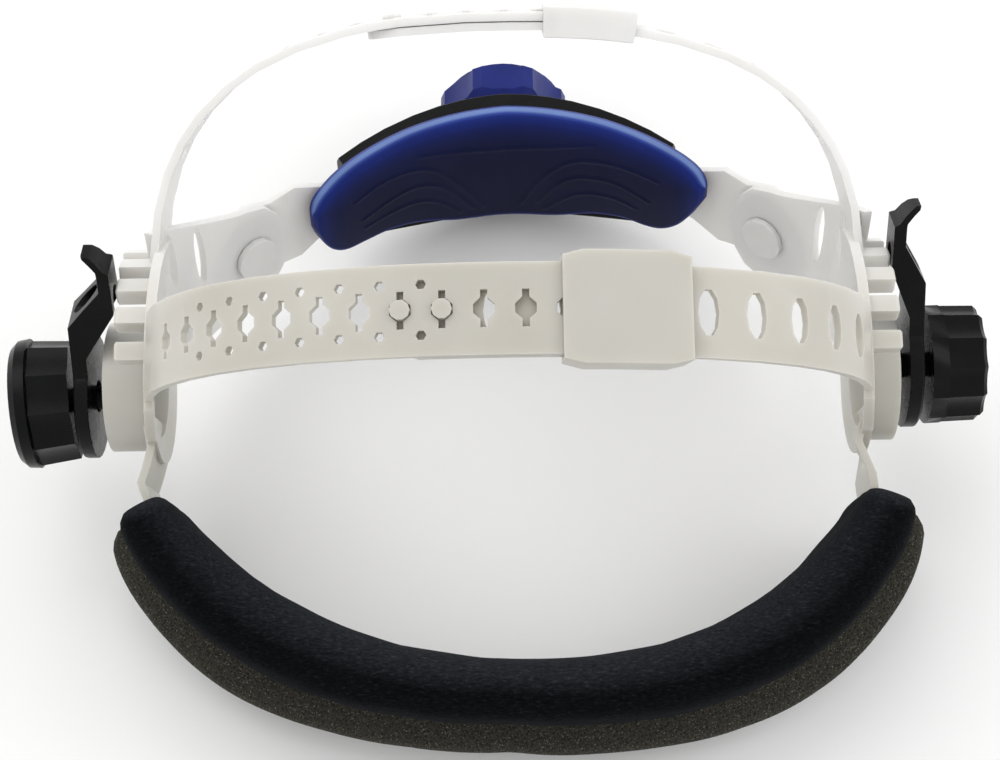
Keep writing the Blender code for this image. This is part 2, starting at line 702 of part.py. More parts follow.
def nape_pad():
    """The soft-faced nape pad: a curved plate whose top edge arches and whose corners are round."""
    nape = nape_line()
    outline = (
        # share of the half length, share of the rise, share of the drop
        (0.0, 1.0, 1.0), (0.25, 0.985, 0.95), (0.5, 0.93, 0.84), (0.72, 0.83, 0.76),
        (0.86, 0.70, 0.68), (0.95, 0.50, 0.46), (1.0, 0.22, 0.16),
    )

    rings = []
    stations = sorted({sign * row[0] * PAD_HALF_LENGTH for row in outline for sign in (-1, 1)}
                      | {sign * 0.12 * PAD_HALF_LENGTH for sign in (-1, 1)}
                      | {sign * 0.38 * PAD_HALF_LENGTH for sign in (-1, 1)})
    for distance in stations:
        rise, drop = between_rows(outline, abs(distance) / PAD_HALF_LENGTH)
        top = PAD_RISE * rise
        bottom = -PAD_DROP * drop
        soft = 1.4 * MM
        face, back = PAD_LAYER - PAD_SHEET / 2, PAD_LAYER + PAD_SHEET / 2
        ring = [nape.place(distance, face, bottom + soft), nape.place(distance, face + soft, bottom),
                nape.place(distance, back, bottom), nape.place(distance, back, top),
                nape.place(distance, face + soft, top), nape.place(distance, face, top - soft)]
        rings.append(ring)
    return loft("nape_pad", rings, blue)


def ratchet_housing():
    nape = nape_line()
    slot = RACK_WIDTH / 2 + GAP
    low = ARM_LAYER - SHEET / 2 - GAP
    high = ARM_LAYER + SHEET / 2 + GAP
    outer, inner = [], []
    for distance in nape.stations(-HOUSING_HALF_LENGTH, HOUSING_HALF_LENGTH, 10 * MM):
        share = abs(distance) / HOUSING_HALF_LENGTH
        half = HOUSING_HALF_HEIGHT * (1 - 0.30 * share ** 2.2)
        cover = high + HOUSING_COVER * (1 - 0.55 * share ** 2)
        base = low - HOUSING_WALL
        outer.append([nape.place(distance, *spot) for spot in (
            (base, -half), (cover - 1.5 * MM, -half), (cover, -half + 2.5 * MM),
            (cover, half - 2.5 * MM), (cover - 1.5 * MM, half), (base, half))])
        inner.append([nape.place(distance, *spot) for spot in (
            (low, -slot), ((low + high) / 2, -slot), (high, -slot),
            (high, slot), ((low + high) / 2, slot), (low, slot))])
    housing = ring_loft("ratchet_housing", outer, inner, black)
    hole = bmesh.new()
    add_prism(hole, nape, 0.0, circle(SPINDLE_RADIUS + GAP, 20), high + 0.4 * MM, high + 3 * HOUSING_COVER)
    combine(housing, tool_object("spindle_hole", hole), "DIFFERENCE")
    return housing


def ratchet_knob():
    """The size knob: a ridged dial on a spindle that turns in the housing."""
    nape = nape_line()
    high = ARM_LAYER + SHEET / 2 + GAP
    seat = nape.place(0.0, high + HOUSING_COVER + GAP)
    outward = nape.out
    third = nape.up.cross(outward)
    place = Matrix((third, nape.up, outward)).transposed().to_4x4()
    place.translation = seat
    spindle = -(HOUSING_COVER - 0.4 * MM)
    profile = [
        (0.02 * MM, spindle), (SPINDLE_RADIUS, spindle), (SPINDLE_RADIUS, 0.0), (DIAL_RADIUS - 2.2 * MM, 0.0),
        (DIAL_RADIUS - 1.6 * MM, 1.2 * MM), (DIAL_RADIUS, 3.0 * MM), (DIAL_RADIUS, DIAL_LENGTH - 2.2 * MM),
        (DIAL_RADIUS - 1.6 * MM, DIAL_LENGTH - 0.5 * MM), (DIAL_RADIUS - 3.5 * MM, DIAL_LENGTH),
        (0.02 * MM, DIAL_LENGTH),
    ]

    def ridges(angle, radius, height):
        if radius < DIAL_RADIUS - 1.7 * MM or height > DIAL_LENGTH - 0.6 * MM or height < 1.0 * MM:
            return radius
        phase = (angle * DIAL_RIDGES / (2 * math.pi)) % 1.0
        return radius if abs(phase - 0.5) < 0.2 else radius - DIAL_RIDGE

    return turned("ratchet_knob", profile, DIAL_RIDGES * RIDGE_SIDES, place, blue, ridges)


def lever(side):
    """The tilt lever: a round plate on the pivot, an arm that steps in over the comb, and a finger tab."""
    which = SIDES[side]["which"]
    place = side_place(which, GAP + SIDES[side]["lift"], 0.0, SIDES[side]["slip"])
    hole = BOLT_RADIUS + BOLT_CLEARANCE
    disc = turned("lever_" + side, [(hole, 0.0), (LEVER_RADIUS, 0.0), (LEVER_RADIUS, LEVER_SHEET - 0.6 * MM),
                                    (LEVER_RADIUS - 0.6 * MM, LEVER_SHEET), (hole, LEVER_SHEET)],
                  DISC_SIDES, place, black)
    turn = math.radians(SIDES[side]["notch"])
    out = Vector((0.0, math.sin(turn), math.cos(turn)))
    across = Vector((0.0, math.cos(turn), -math.sin(turn)))
    inner = boss_end(which) + GAP + SIDES[side]["lift"]
    outer = inner + LEVER_SHEET
    rides = peg_end(side, PEG_COUNT - 1) + GAP
    rides_out = rides + LEVER_ARM_SHEET
    tab = rides + LEVER_ARM_SHEET * 0.45
    step_start, step_end = BOSS_RADIUS + 1.0 * MM, PEG_RADIUS - PEG_WIDTH / 2 - 1.2 * MM
    sunk = (LEVER_SHOULDER - step_start) / (step_end - step_start)
    sloped = (step_end - LEVER_SHOULDER) / (LEVER_WAIST - LEVER_SHOULDER)
    rows = (
        # radius, inner face, outer face, share of the arm's width
        (LEVER_RADIUS * 0.62, inner, outer, 1.45),
        (step_start, inner, outer, 1.15),
        (LEVER_SHOULDER, inner + (rides - inner) * sunk, outer, 0.88),
        (step_end, rides, outer + (rides_out - outer) * sloped, 0.80),
        (LEVER_WAIST, rides, rides_out, 0.74),
        (LEVER_SHELF, rides, rides_out, 0.70),
        (LEVER_SHELF + 0.6 * MM, tab, rides_out + LEVER_LUG * 0.06, 0.64),
        (LEVER_TIP - 2.0 * MM, tab + LEVER_LUG * 0.40, rides_out + LEVER_LUG * 0.50, 0.58),
        (LEVER_TIP - 0.7 * MM, tab + LEVER_LUG * 0.80, rides_out + LEVER_LUG * 0.90, 0.50),
        (LEVER_TIP, tab + LEVER_LUG * 1.15, rides_out + LEVER_LUG, 0.36),
    )
    rings = []
    for radius, low, high, width in rows:
        half = width * LEVER_ARM_WIDTH / 2
        ring = []
        for side_step, reach in ((-1, low), (1, low), (1, high), (-1, high)):
            spot = out * radius + across * (side_step * half) + slipped(SIDES[side]["slip"])
            ring.append(Vector((which * reach, 0.0, 0.0)) + spot)
        rings.append(ring)
    combine(disc, hide(loft(f"{side}_lever_arm", rings)), "UNION")
    slot = bmesh.new()
    slot_rings = []
    for reach in (rides - LEVER_ARM_SHEET, outer + LEVER_SHEET):
        ring = []
        for along, up in oval(LEVER_SLOT_LENGTH, LEVER_SLOT_WIDTH, 12):
            spot = out * ((LEVER_SHOULDER + LEVER_WAIST) / 2 + up) + across * along
            spot += slipped(SIDES[side]["slip"])
            ring.append(Vector((which * reach, 0.0, 0.0)) + spot)
        slot_rings.append(ring)
    add_loft(slot, slot_rings)
    combine(disc, tool_object(f"{side}_lever_slot", slot), "DIFFERENCE")
    return disc


def knob_seat(side):
    """Height of the knob's inner face above the boss: it stands off the lever, more so where it leans."""
    values = SIDES[side]
    lean = abs(math.sin(math.radians(values["droop"]))) * LEVER_RADIUS
    return GAP + values["lift"] + LEVER_SHEET + GAP + values["backed_off"] + lean


def side_knob(side):
    """The clamp knob: fluted, with a smooth rim at its outer end on the left and its inner end on the right."""
    values = SIDES[side]
    radius, length, rim = values["knob_radius"], values["knob_length"], values["rim_length"]
    place = side_place(values["which"], knob_seat(side), values["droop"], values["slip"])
    hole = BOLT_RADIUS + GAP
    depth = length * 0.7
    if values["rim"] == "outer":
        fluted = (0.0, length - rim)
        sizes = [(radius - 1.4 * MM, 0.0), (radius - 0.5 * MM, length - rim),
                 (radius, length - rim + 0.4 * MM), (radius - 0.3 * MM, length - 1.6 * MM),
                 (radius - 1.8 * MM, length)]
    else:
        fluted = (rim, length)
        sizes = [(radius, 0.0), (radius, rim), (radius - 0.2 * MM, rim + 0.4 * MM),
                 (radius - 0.4 * MM, length - 1.0 * MM), (radius - 1.4 * MM, length)]
    profile = [(hole, 0.0)] + sizes + [(0.02 * MM, length), (0.02 * MM, depth), (hole, depth)]

    def flutes(angle, size, height):
        if size < radius - 2.0 * MM or not fluted[0] <= height <= fluted[1] + 0.1 * MM:
            return size
        phase = (angle * values["flutes"] / (2 * math.pi)) % 1.0
        scoop = math.sin(math.pi * phase) ** 0.7
        return size - KNOB_FLUTE_DEPTH * scoop

    return turned("knob_" + side, profile, values["flutes"] * FLUTE_SIDES, place, black, flutes)


def pivot_bolt(side):
    """The bolt through the boss, its square head inside the cup of the boss."""
    values = SIDES[side]
    place = side_place(values["which"], 0.0, values["droop"], values["slip"])
    tilt = abs(math.sin(math.radians(values["droop"]))) * BOLT_HEAD * 0.71
    head = -BOSS_FLOOR - GAP - tilt
    tip = knob_seat(side) + values["knob_length"] * 0.7 - GAP
    profile = [(0.02 * MM, head - 2.6 * MM), (BOLT_HEAD / 2, head - 2.6 * MM), (BOLT_HEAD / 2, head),
               (BOLT_RADIUS, head), (BOLT_RADIUS, tip), (0.02 * MM, tip)]

    def square(angle, radius, height):
        if radius < BOLT_HEAD * 0.45:
            return radius
        corner = (angle + math.pi / 4) % (math.pi / 2) - math.pi / 4
        return radius / math.cos(corner) * 0.92

    return turned("pivot_bolt_" + side, profile, BOLT_SIDES, place, black, square)


def between_rows(rows, share):
    """The columns after the first of a table, read at a share that lies between two of its rows."""
    for first, second in zip(rows, rows[1:]):
        if share <= second[0] + TINY:
            mix = (share - first[0]) / (second[0] - first[0])
            return [low * (1 - mix) + high * mix for low, high in zip(first[1:], second[1:])]
    return rows[-1][1:]


def sweatband():
    """The folded pad: fabric over foam, open below, with the cut foam edge standing out along the outside."""
    line = brow_line(0.0)
    ends = [line.distance_at(values["sweat_end"], values["which"]) for values in SIDES.values()]
    slot = PAD_SLOT / 2
    roof = BROW_WIDTH / 2 + GAP
    rings = []
    for distance in line.stations(*ends, 25 * MM):
        share = distance / (ends[0] if distance < 0 else ends[1])
        inside, outside, flap = between_rows(SWEAT_SECTIONS, share)
        section = (
            (-inside, -SWEAT_BOTTOM), (-inside, SWEAT_TOP - 7.5 * MM), (-inside * 0.72, SWEAT_TOP - 2.6 * MM),
            (0.0, SWEAT_TOP), (outside * 0.72, SWEAT_TOP - 2.6 * MM), (outside, SWEAT_TOP - 7.5 * MM),
            (outside, -1.5 * MM), (outside - 1.0 * MM, -4.0 * MM), (outside + flap - 1.0 * MM, -7.0 * MM),
            (outside + flap, -10.0 * MM), (outside + flap * 0.6, -SWEAT_BOTTOM), (slot, -SWEAT_BOTTOM),
            (slot, roof), (-slot, roof), (-slot, -SWEAT_BOTTOM),
        )
        rings.append([line.place(distance, out, up) for out, up in section])
    return loft("sweatband", rings, cloth)


def settle(pieces):
    """Stand the harness on z = 0 with its footprint's middle at the origin."""
    bpy.context.view_layer.update()
    graph = bpy.context.evaluated_depsgraph_get()
    low, high = Vector((1e9,) * 3), Vector((-1e9,) * 3)
    for piece in pieces:
        for vertex in piece.evaluated_get(graph).data.vertices:
            for axis in range(3):
                low[axis] = min(low[axis], vertex.co[axis])
                high[axis] = max(high[axis], vertex.co[axis])
    harness.location = (-(low.x + high.x) / 2, -(low.y + high.y) / 2, -low.z)
    bpy.context.view_layer.update()


for leftover in list(bpy.data.objects):
    bpy.data.objects.remove(leftover)
harness = bpy.data.objects.new("harness", None)
bpy.context.scene.collection.objects.link(harness)

white = material("milky_plastic", (0.83, 0.85, 0.85), 0.38)
black = material("black_plastic", (0.02, 0.02, 0.022), 0.42)
blue = material("blue_plastic", (0.03, 0.06, 0.42), 0.35)
cloth = material("sweatband_fabric", (0.012, 0.014, 0.022), 0.95)

ARM_LAYER = LAYER_STEP + 0.1 * MM
PAD_LAYER = ARM_LAYER - SHEET / 2 - GAP - HOUSING_WALL - GAP - PAD_SHEET / 2

LAYERS = {"left": LAYER_STEP / 2, "right": -LAYER_STEP / 2}

PIECES = [moulding(side) for side in SIDES]
PIECES += [sleeve(label) for label in CROWNS]
PIECES += [nape_arm(side) for side in SIDES]
PIECES += [nape_pad(), ratchet_housing(), ratchet_knob()]
PIECES += [lever(side) for side in SIDES]
PIECES += [side_knob(side) for side in SIDES]
PIECES += [pivot_bolt(side) for side in SIDES]
PIECES.append(sweatband())
settle(PIECES)
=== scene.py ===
# %% [markdown]
# # The headgear of a welding helmet
# A welding helmet hangs on a harness: two milky plastic mouldings meet over the crown, a sweatband
# lies on the forehead, and a blue pad with a size dial holds the nape. The solids come from the CAD
# part, so every rigid piece is already in its place, and this lesson dresses them. Soft pieces are
# built anew, because a foam strip is all curves and no facets. We start by loading the frame.

import math

import bmesh
import bpy
from mathutils import Matrix, Vector, noise


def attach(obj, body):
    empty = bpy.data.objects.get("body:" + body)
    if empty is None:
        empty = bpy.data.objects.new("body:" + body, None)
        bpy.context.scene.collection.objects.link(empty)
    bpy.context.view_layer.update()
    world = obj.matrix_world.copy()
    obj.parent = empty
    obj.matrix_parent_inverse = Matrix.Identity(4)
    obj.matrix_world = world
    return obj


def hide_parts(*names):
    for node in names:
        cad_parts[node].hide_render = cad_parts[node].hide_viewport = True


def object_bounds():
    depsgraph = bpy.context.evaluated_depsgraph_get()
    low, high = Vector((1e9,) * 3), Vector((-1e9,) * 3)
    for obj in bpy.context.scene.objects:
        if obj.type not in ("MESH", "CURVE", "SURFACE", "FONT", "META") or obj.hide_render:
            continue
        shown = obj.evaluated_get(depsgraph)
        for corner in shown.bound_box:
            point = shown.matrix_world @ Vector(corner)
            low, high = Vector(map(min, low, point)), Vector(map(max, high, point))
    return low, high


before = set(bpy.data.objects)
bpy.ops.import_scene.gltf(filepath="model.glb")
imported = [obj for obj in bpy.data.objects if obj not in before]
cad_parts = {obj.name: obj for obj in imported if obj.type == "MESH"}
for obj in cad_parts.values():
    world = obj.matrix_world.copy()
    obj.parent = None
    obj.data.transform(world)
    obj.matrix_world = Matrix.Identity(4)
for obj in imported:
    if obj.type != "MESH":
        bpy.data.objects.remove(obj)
cad_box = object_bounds()

MM = 0.001
print("nodes:", ", ".join(sorted(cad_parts)))
print("size in mm:", [round((high - low) / MM, 1) for low, high in zip(*cad_box)])

# %% [markdown]
# ## The camera
# The photographer stood in front of the harness and looked down on it steeply, about 65 degrees above
# the horizon, with the camera turned by not quite one degree. A perspective camera can be aimed with a
# Track To constraint, but a matrix built from three directions also holds that small roll, so we use
# one. The lens is given in millimetres on a 36 mm sensor. A small shift puts the frame's middle where
# the photograph has it.

# %% Aim the camera
SENSOR = 36.0
FOCAL_PIXELS = 2173.0
PICTURE_WIDTH = 1000.0
CAMERA_DISTANCE = 542.0 * MM
CAMERA_PITCH = math.radians(65.0)
CAMERA_ROLL = math.radians(0.9)
HARNESS_AT = Vector((3.105, -7.161, 43.738)) * MM      # the middle of the pivot axis, in the part's frame

back = Vector((0.0, -math.cos(CAMERA_PITCH), math.sin(CAMERA_PITCH)))
steep = Vector((0.0, math.sin(CAMERA_PITCH), math.cos(CAMERA_PITCH)))
level = Vector((1.0, 0.0, 0.0))
right = level * math.cos(CAMERA_ROLL) - steep * math.sin(CAMERA_ROLL)
upward = level * math.sin(CAMERA_ROLL) + steep * math.cos(CAMERA_ROLL)

camera_data = bpy.data.cameras.new("camera")
camera_data.sensor_width = SENSOR
camera_data.lens = FOCAL_PIXELS / PICTURE_WIDTH * SENSOR
camera_data.shift_x = -0.0088
camera_data.shift_y = 0.001
camera_data.clip_start = 0.01
camera_data.clip_end = 20.0
camera = bpy.data.objects.new("camera", camera_data)
camera.matrix_world = Matrix((right, upward, back)).transposed().to_4x4()
camera.location = HARNESS_AT + back * CAMERA_DISTANCE
bpy.context.scene.collection.objects.link(camera)
bpy.context.scene.camera = camera
print("lens:", round(camera_data.lens, 1), "mm, height of the camera:", round(camera.location.z, 3), "m")

# %% [markdown]
# ## Floor and light
# The picture is a catalogue shot: a bright, even ground and light from all sides, a little stronger
# from above and behind. A large pale plane is the floor. An even pale world gives the fill, and two
# area lamps give the milky plastic its soft edges and the black knobs their grey highlights.

# %% Lay the floor and hang the lamps
FLOOR_SIDE = 6.0
WORLD_STRENGTH = 0.86
LAMP_AIM = (0.0, 0.0, 0.05)


def area_lamp(name, place, aim, size, power, tint):
    """A square lamp at a place, pointing at a place."""
    data = bpy.data.lights.new(name, "AREA")
    data.size = size
    data.energy = power
    data.color = tint
    lamp = bpy.data.objects.new(name, data)
    lamp.location = place
    lamp.rotation_mode = "QUATERNION"
    lamp.rotation_quaternion = (Vector(aim) - Vector(place)).to_track_quat("-Z", "Y")
    bpy.context.scene.collection.objects.link(lamp)
    return lamp


bpy.ops.mesh.primitive_plane_add(size=FLOOR_SIDE, location=(0.0, 0.0, cad_box[0].z))
floor = bpy.context.object
floor.name = "floor"

world = bpy.data.worlds.new("studio")
world.use_nodes = True
world.node_tree.nodes["Background"].inputs["Color"].default_value = (1.0, 1.0, 1.0, 1.0)
world.node_tree.nodes["Background"].inputs["Strength"].default_value = WORLD_STRENGTH
bpy.context.scene.world = world
bpy.context.scene.view_settings.view_transform = "Standard"

area_lamp("key_lamp", (-0.35, 0.45, 1.0), LAMP_AIM, 0.9, 4.4, (1.0, 0.99, 0.97))
area_lamp("side_lamp", (0.8, 0.1, 0.6), LAMP_AIM, 0.5, 1.6, (1.0, 1.0, 1.0))

# %% [markdown]
# ## Helpers for finishes
# Every finish here is worked out by nodes from the place on the object, so it needs no picture. Noise
# is measured in real size: the CAD nodes sit at the origin, so their object coordinates are metres,
# and a noise scale of 1000 makes grains of a millimetre.


# %% Node helpers
class Finish:
    """A Principled material and short ways to add noise, ramps and bump to it."""

    def __init__(self, name, roughness, **constants):
        self.material = bpy.data.materials.new(name)
        self.material.use_nodes = True
        self.nodes = self.material.node_tree.nodes
        self.links = self.material.node_tree.links
        self.shader = self.nodes["Principled BSDF"]
        self.shader.inputs["Roughness"].default_value = roughness
        for key, value in constants.items():
            self.shader.inputs[key.replace("_", " ")].default_value = value
        self.place = self.nodes.new("ShaderNodeTexCoord").outputs["Object"]
        self.relief = None

    def noise(self, grain, detail=3.0, roughness=0.55, stretch=None):
        """Noise whose grains are about this many millimetres wide."""
        node = self.nodes.new("ShaderNodeTexNoise")
        node.inputs["Scale"].default_value = 1.0 / (grain * MM)
        node.inputs["Detail"].default_value = detail
        node.inputs["Roughness"].default_value = roughness
        where = self.place
        if stretch:
            mapping = self.nodes.new("ShaderNodeMapping")
            mapping.inputs["Scale"].default_value = stretch
            self.links.new(where, mapping.inputs["Vector"])
            where = mapping.outputs["Vector"]
        self.links.new(where, node.inputs["Vector"])
        return node.outputs["Fac"]

    def cells(self, grain, feature="F1"):
        node = self.nodes.new("ShaderNodeTexVoronoi")
        node.feature = feature
        node.inputs["Scale"].default_value = 1.0 / (grain * MM)
        self.links.new(self.place, node.inputs["Vector"])
        return node.outputs["Distance"]

    def ramp(self, source, stops):
        """Colours or grey levels at positions of a value from 0 to 1."""
        node = self.nodes.new("ShaderNodeValToRGB")
        points = node.color_ramp.elements
        while len(points) < len(stops):
            points.new(0.5)
        for point, (position, colour) in zip(points, stops):
            point.position = position
            point.color = (*colour, 1.0) if isinstance(colour, tuple) else (colour, colour, colour, 1.0)
        self.links.new(source, node.inputs["Fac"])
        return node.outputs["Color"]

    def mix(self, first, second, share, kind="MIX"):
        node = self.nodes.new("ShaderNodeMix")
        node.data_type = "RGBA"
        node.blend_type = kind
        for socket, value in (("Factor_Float", share), ("A_Color", first), ("B_Color", second)):
            target = next(one for one in node.inputs if one.identifier == socket)
            if isinstance(value, bpy.types.NodeSocket):
                self.links.new(value, target)
            else:
                target.default_value = (*value, 1.0) if isinstance(value, tuple) else value
        return next(one for one in node.outputs if one.identifier == "Result_Color")

    def colour(self, source):
        self.links.new(source, self.shader.inputs["Base Color"])

    def rough(self, source, low, high):
        node = self.nodes.new("ShaderNodeMapRange")
        node.inputs["To Min"].default_value = low
        node.inputs["To Max"].default_value = high
        self.links.new(source, node.inputs["Value"])
        self.links.new(node.outputs["Result"], self.shader.inputs["Roughness"])

    def bump(self, source, depth, strength=1.0):
        """Relief of this many millimetres, on top of any relief added before."""
        node = self.nodes.new("ShaderNodeBump")
        node.inputs["Strength"].default_value = strength
        node.inputs["Distance"].default_value = depth * MM
        self.links.new(source, node.inputs["Height"])
        if self.relief:
            self.links.new(self.relief, node.inputs["Normal"])
        self.relief = node.outputs["Normal"]
        self.links.new(self.relief, self.shader.inputs["Normal"])

    def along(self, axis, low, high):
        """How far a place lies from low to high along an axis of the part's frame, from 0 to 1."""
        split = self.nodes.new("ShaderNodeSeparateXYZ")
        self.links.new(self.place, split.inputs["Vector"])
        node = self.nodes.new("ShaderNodeMapRange")
        node.inputs["From Min"].default_value = low
        node.inputs["From Max"].default_value = high
        self.links.new(split.outputs[axis], node.inputs["Value"])
        return node.outputs["Result"]

    def facing(self, direction):
        """How much the surface faces a direction of the part's frame, from 0 to 1."""
        surface = self.nodes.new("ShaderNodeNewGeometry")
        dot = self.nodes.new("ShaderNodeVectorMath")
        dot.operation = "DOT_PRODUCT"
        dot.inputs[1].default_value = direction
        self.links.new(surface.outputs["Normal"], dot.inputs[0])
        clamp = self.nodes.new("ShaderNodeClamp")
        self.links.new(dot.outputs["Value"], clamp.inputs["Value"])
        return clamp.outputs["Result"]


def paint(obj, *finishes):
    """Gives a mesh its materials. A new mesh keeps the numbers that its faces already carry."""
    if obj.data.materials:
        obj.data.materials.clear()
    for finish in finishes:
        obj.data.materials.append(finish.material)


# %% [markdown]
# ## The floor's finish
# Paper sweeps aren't perfectly even. A very faint, wide noise keeps the floor from looking computed.

# %% Finish the floor
paper = Finish("paper_sweep", 0.9)
paper.colour(paper.ramp(paper.noise(400.0), [(0.3, (0.93, 0.93, 0.93)), (0.7, (0.95, 0.95, 0.95))]))
paint(floor, paper)

# %% [markdown]
# ## Milky plastic
# The straps look like an uncoloured moulded plastic, perhaps nylon: white, a little warm, and
# translucent, so that light goes in at the edges and they look brighter than the faces. Glass-like
# transmission would show the pieces behind too clearly. Subsurface scattering with a radius of some
# millimetres gives the glow of a thin moulding. Its numbers are constant, so they stand on the
# shader's own sockets. Towards the rear the harness hangs close over the bright ground and lets its
# light through, so the colour there is painted lighter: painted light, a brighter copy of the plastic.

# %% Mix the milky plastic
milky = Finish("milky_plastic", 0.36, Subsurface_Weight=0.45, Subsurface_Scale=0.004,
               Subsurface_Radius=(1.0, 0.93, 0.8), Specular_IOR_Level=0.45)
cloudy = milky.noise(45.0, detail=2.0)
front_tone = milky.ramp(cloudy, [(0.3, (0.49, 0.47, 0.42)), (0.7, (0.56, 0.545, 0.50))])
rear_painted_light_tone = milky.ramp(cloudy, [(0.3, (0.78, 0.77, 0.75)), (0.7, (0.86, 0.855, 0.84))])
# The rear copy is the same plastic painted lighter towards the rear: painted light.
milky.colour(milky.mix(front_tone, rear_painted_light_tone, milky.along("Y", -16 * MM, 22 * MM)))
milky.rough(milky.noise(6.0), 0.28, 0.44)
milky.bump(milky.noise(9.0, detail=1.0), 0.05)
milky.bump(milky.noise(0.6), 0.012)

# %% [markdown]
# ## Black and blue plastic
# The levers and knobs are satin black. Moulds for such pieces are often etched, so we give the surface
# a fine grain that spreads each highlight. The dial is a deep blue with the same grain, but shinier.

# %% Mix the black and the blue
black = Finish("black_plastic", 0.30, Specular_IOR_Level=0.12)
black.colour(black.ramp(black.noise(12.0), [(0.3, (0.0018, 0.0019, 0.0022)),
                                            (0.7, (0.0040, 0.0042, 0.0050))]))
black.rough(black.noise(3.0), 0.22, 0.34)
black.bump(black.noise(0.35, detail=2.0), 0.02)

blue = Finish("blue_plastic", 0.30, Specular_IOR_Level=0.16)
blue.colour(blue.ramp(blue.noise(14.0), [(0.3, (0.006, 0.012, 0.115)), (0.7, (0.010, 0.020, 0.175))]))
blue.rough(blue.noise(4.0), 0.28, 0.42)
blue.bump(blue.noise(0.4, detail=2.0), 0.02)

# %% [markdown]
# ## Dressing the rigid solids
# The CAD solids come as triangles with hard corners. Real mouldings have small radii that catch the
# light. Modifiers are allowed on them, because they leave the stored mesh as it is: a Weld joins the
# triangles, a planar Decimate turns flats back into whole faces, and a narrow Bevel rounds the edges.
# A small Geometry Nodes tree shades smooth across everything but the corners that are left, and
# Weighted Normal lets the large faces decide the normals, or the straps would look crumpled round
# their holes.


# %% Round the edges
def smooth_by_angle_tree(limit):
    tree = bpy.data.node_groups.new("smooth_by_angle", "GeometryNodeTree")
    tree.interface.new_socket("Geometry", in_out="INPUT", socket_type="NodeSocketGeometry")
    tree.interface.new_socket("Geometry", in_out="OUTPUT", socket_type="NodeSocketGeometry")
    entry, leave = tree.nodes.new("NodeGroupInput"), tree.nodes.new("NodeGroupOutput")
    smooth = tree.nodes.new("GeometryNodeSetShadeSmooth")
    sharpen = tree.nodes.new("GeometryNodeSetShadeSmooth")
    sharpen.domain = "EDGE"
    sharpen.inputs["Shade Smooth"].default_value = False
    angle = tree.nodes.new("GeometryNodeInputMeshEdgeAngle")
    compare = tree.nodes.new("FunctionNodeCompare")
    compare.operation = "GREATER_THAN"
    compare.inputs["B"].default_value = limit
    tree.links.new(angle.outputs["Unsigned Angle"], compare.inputs["A"])
    tree.links.new(entry.outputs[0], smooth.inputs["Geometry"])
    tree.links.new(smooth.outputs["Geometry"], sharpen.inputs["Geometry"])
    tree.links.new(compare.outputs["Result"], sharpen.inputs["Selection"])
    tree.links.new(sharpen.outputs["Geometry"], leave.inputs[0])
    return tree


SMOOTH_TREE = smooth_by_angle_tree(math.radians(32.0))


def soften(obj, width, segments=2):
    """Rounded edges and smooth shading, by modifiers alone."""
    for name in ("custom_normal", "sharp_edge", "sharp_face"):
        if name in obj.data.attributes:
            obj.data.attributes.remove(obj.data.attributes[name])
    weld = obj.modifiers.new("weld", "WELD")
    weld.merge_threshold = 0.02 * MM
    flats = obj.modifiers.new("flats", "DECIMATE")
    flats.decimate_type = "DISSOLVE"
    flats.angle_limit = math.radians(0.6)
    if width:
        bevel = obj.modifiers.new("bevel", "BEVEL")
        bevel.width = width
        bevel.segments = segments
        bevel.limit_method = "ANGLE"
        bevel.angle_limit = math.radians(32.0)
    shade = obj.modifiers.new("shade", "NODES")
    shade.node_group = SMOOTH_TREE
    weights = obj.modifiers.new("weights", "WEIGHTED_NORMAL")
    weights.weight = 90
    weights.keep_sharp = True


DRESS = {
    # node: finish, radius of its edges
    "moulding_left": (milky, 0.25 * MM), "moulding_right": (milky, 0.25 * MM),
    "front_crown_sleeve": (milky, 0.35 * MM), "rear_crown_sleeve": (milky, 0.35 * MM),
    "nape_arm_left": (milky, 0.3 * MM), "nape_arm_right": (milky, 0.3 * MM),
    "ratchet_housing": (black, 0.5 * MM), "ratchet_knob": (blue, 0.4 * MM),
    "lever_left": (black, 0.4 * MM), "lever_right": (black, 0.4 * MM),
    "knob_left": (black, 0.35 * MM), "knob_right": (black, 0.35 * MM),
    "pivot_bolt_left": (black, 0.3 * MM), "pivot_bolt_right": (black, 0.3 * MM),
}
for node, (finish, radius) in DRESS.items():
    soften(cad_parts[node], radius)
    paint(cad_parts[node], finish)
print("dressed:", len(DRESS), "solids")

# %% [markdown]
# ## The lines of the harness
# Every strap lies in a plane through the pivot axis, like a meridian of a globe. The sweatband follows
# the forehead band and the pad follows the nape arms, so both are built along the same lines as in the
# CAD part: a superellipse in its meridian plane. Blender's curve objects could carry them too, but a
# short class lets us ask for a place at any distance along the line, outwards and upwards.


# %% Lines in meridian planes
def superellipse(span, base, rise, power, steps=160):
    """Points (x, r) of the upper half of a superellipse, from the left end to the right end."""
    points = []
    for step in range(steps + 1):
        angle = math.pi * (1 - step / steps)
        across = span * math.copysign(abs(math.cos(angle)) ** (2 / power), math.cos(angle))
        points.append(Vector((across, base + rise * abs(math.sin(angle)) ** (2 / power))))
    return points


